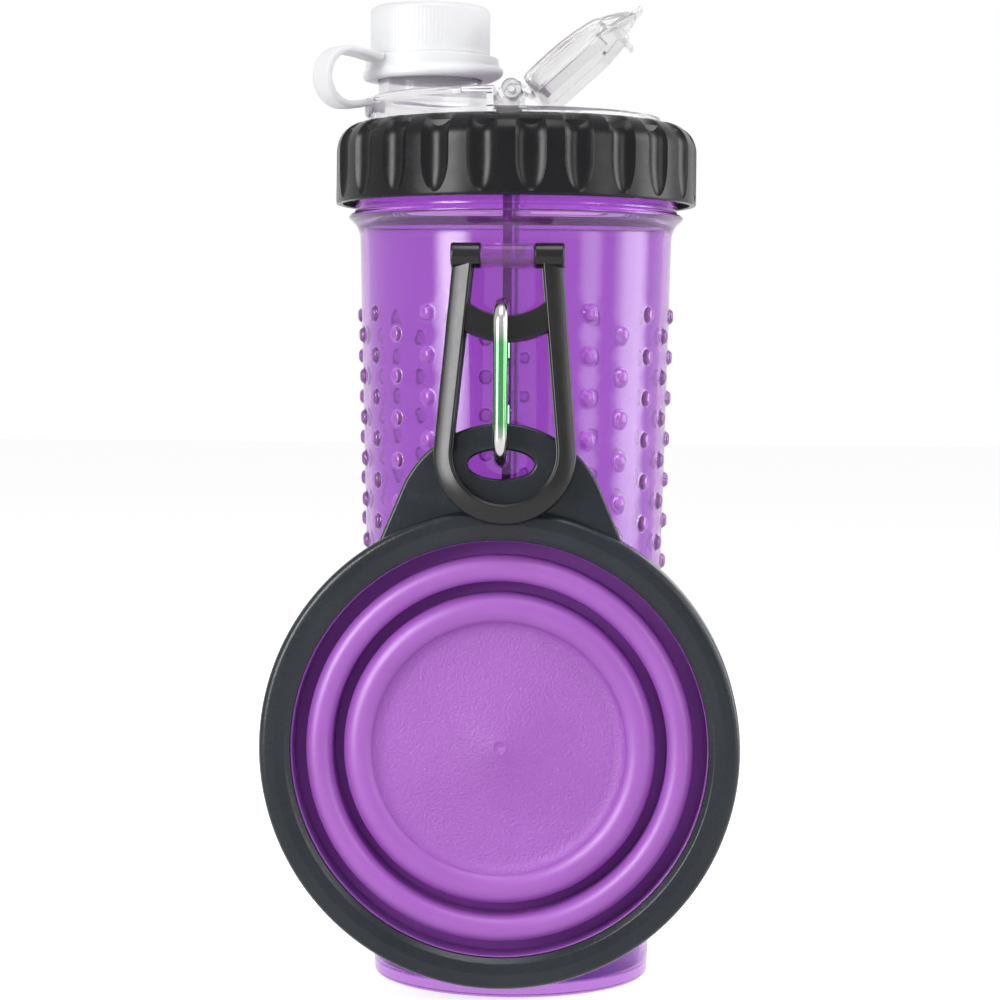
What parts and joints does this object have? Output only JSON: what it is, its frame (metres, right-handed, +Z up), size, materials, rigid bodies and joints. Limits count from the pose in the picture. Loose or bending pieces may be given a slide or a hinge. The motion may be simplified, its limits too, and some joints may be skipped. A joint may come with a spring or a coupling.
{
  "type": "dog travel water bottle",
  "caption": "Two-chamber travel bottle for a dog with a screw collar, capped spout and snack hatch, and a folding soft cup hung in front on a snap hook.",
  "frame": {"origin": "centre of the beaker's base, on its axis", "axes": "+Z up along the beaker's axis; -Y is the front, where the cup hangs; -X is the water side and +X the snack side"},
  "size_m": [0.1146, 0.1024, 0.2449],
  "materials": {
    "purple_plastic": "see-through, smooth",
    "purple_soft": "satin",
    "black_plastic": "satin",
    "slate_plastic": "satin",
    "clear_plastic": "clear",
    "frosted_plastic": "frosted",
    "hook_metal": "polished",
    "seal": "matte"
  },
  "bodies": {
    "bottle": {"bottle_shell": "purple_plastic", "divider_wall": "purple_plastic"},
    "lid": {"lid_insert": "clear_plastic", "lid_gasket": "seal", "door_pin": "clear_plastic", "tether_stud": "frosted_plastic", "tether_strap": "frosted_plastic"},
    "collar": {"collar": "black_plastic"},
    "cap_carrier": {"tether_ring": "frosted_plastic"},
    "cap": {"spout_cap": "frosted_plastic", "cap_liner": "seal"},
    "door": {"snack_door": "clear_plastic"},
    "hanger": {"hanger": "black_plastic"},
    "hook": {"carabiner_body": "hook_metal", "gate_pivot_pin": "hook_metal"},
    "gate": {"carabiner_gate": "hook_metal", "gate_nose_pin": "hook_metal"},
    "cup": {"bowl_frame": "slate_plastic", "bowl_membrane_edge": "purple_soft"},
    "outer_fold": {"bowl_outer_fold": "purple_soft"},
    "inner_fold": {"bowl_inner_fold": "purple_soft"},
    "cup_floor": {"bowl_floor": "purple_soft"}
  },
  "joints": [
    {"name": "collar_turn", "type": "hinge", "parent": "lid", "child": "collar", "pos_m": [0, 0, 0.205], "axis": [0, 0, 1], "range_deg": [0, 540]},
    {"name": "lid_rise", "type": "slide", "parent": "bottle", "child": "lid", "axis": [0, 0, 1], "range_m": [0, 0.006]},
    {"name": "cap_turn", "type": "hinge", "parent": "cap_carrier", "child": "cap", "pos_m": [-0.022, 0, 0.24], "axis": [0, 0, 1], "range_deg": [0, 540]},
    {"name": "cap_rise", "type": "slide", "parent": "lid", "child": "cap_carrier", "axis": [0, 0, 1], "range_m": [0, 0.0045], "deforming": ["tether_strap"]},
    {"name": "door_hinge", "type": "hinge", "parent": "lid", "child": "door", "pos_m": [-0.0008, 0, 0.2234], "axis": [0, -1, 0], "range_deg": [-42, 65]},
    {"name": "hanger_swing", "type": "hinge", "parent": "bottle", "child": "hanger", "pos_m": [0.0005, -0.04394, 0.1804], "axis": [-1, 0, 0], "range_deg": [0, 100]},
    {"name": "hook_swing", "type": "hinge", "parent": "hanger", "child": "hook", "pos_m": [-0.0006, -0.04691, 0.16285], "axis": [-1, 0, 0], "range_deg": [-100, 0]},
    {"name": "gate_open", "type": "hinge", "parent": "hook", "child": "gate", "pos_m": [-0.0006, -0.04131, 0.14345], "axis": [1, 0, 0], "range_deg": [0, 25], "stiffness_Nm_per_rad": 0.01, "springref_deg": -11.46},
    {"name": "cup_rock", "type": "hinge", "parent": "hook", "child": "cup", "pos_m": [-0.0006, -0.04691, 0.13735], "axis": [0, -1, 0], "range_deg": [-10, 10]},
    {"name": "floor_pop", "type": "slide", "parent": "cup", "child": "cup_floor", "axis": [0, -1, 0], "range_m": [0, 0.03]},
    {"name": "inner_fold_pop", "type": "slide", "parent": "cup", "child": "inner_fold", "axis": [0, -1, 0], "range_m": [0, 0.0201]},
    {"name": "outer_fold_pop", "type": "slide", "parent": "cup", "child": "outer_fold", "axis": [0, -1, 0], "range_m": [0, 0.0101]}
  ],
  "couplings": [
    {"joint": "lid_rise", "follows": "collar_turn", "m_per_rad": 0.0006366},
    {"joint": "cap_rise", "follows": "cap_turn", "m_per_rad": 0.0004774},
    {"joint": "hook_swing", "follows": "hanger_swing", "ratio": -1},
    {"joint": "inner_fold_pop", "follows": "floor_pop", "ratio": 0.66667},
    {"joint": "outer_fold_pop", "follows": "floor_pop", "ratio": 0.33333}
  ]
}
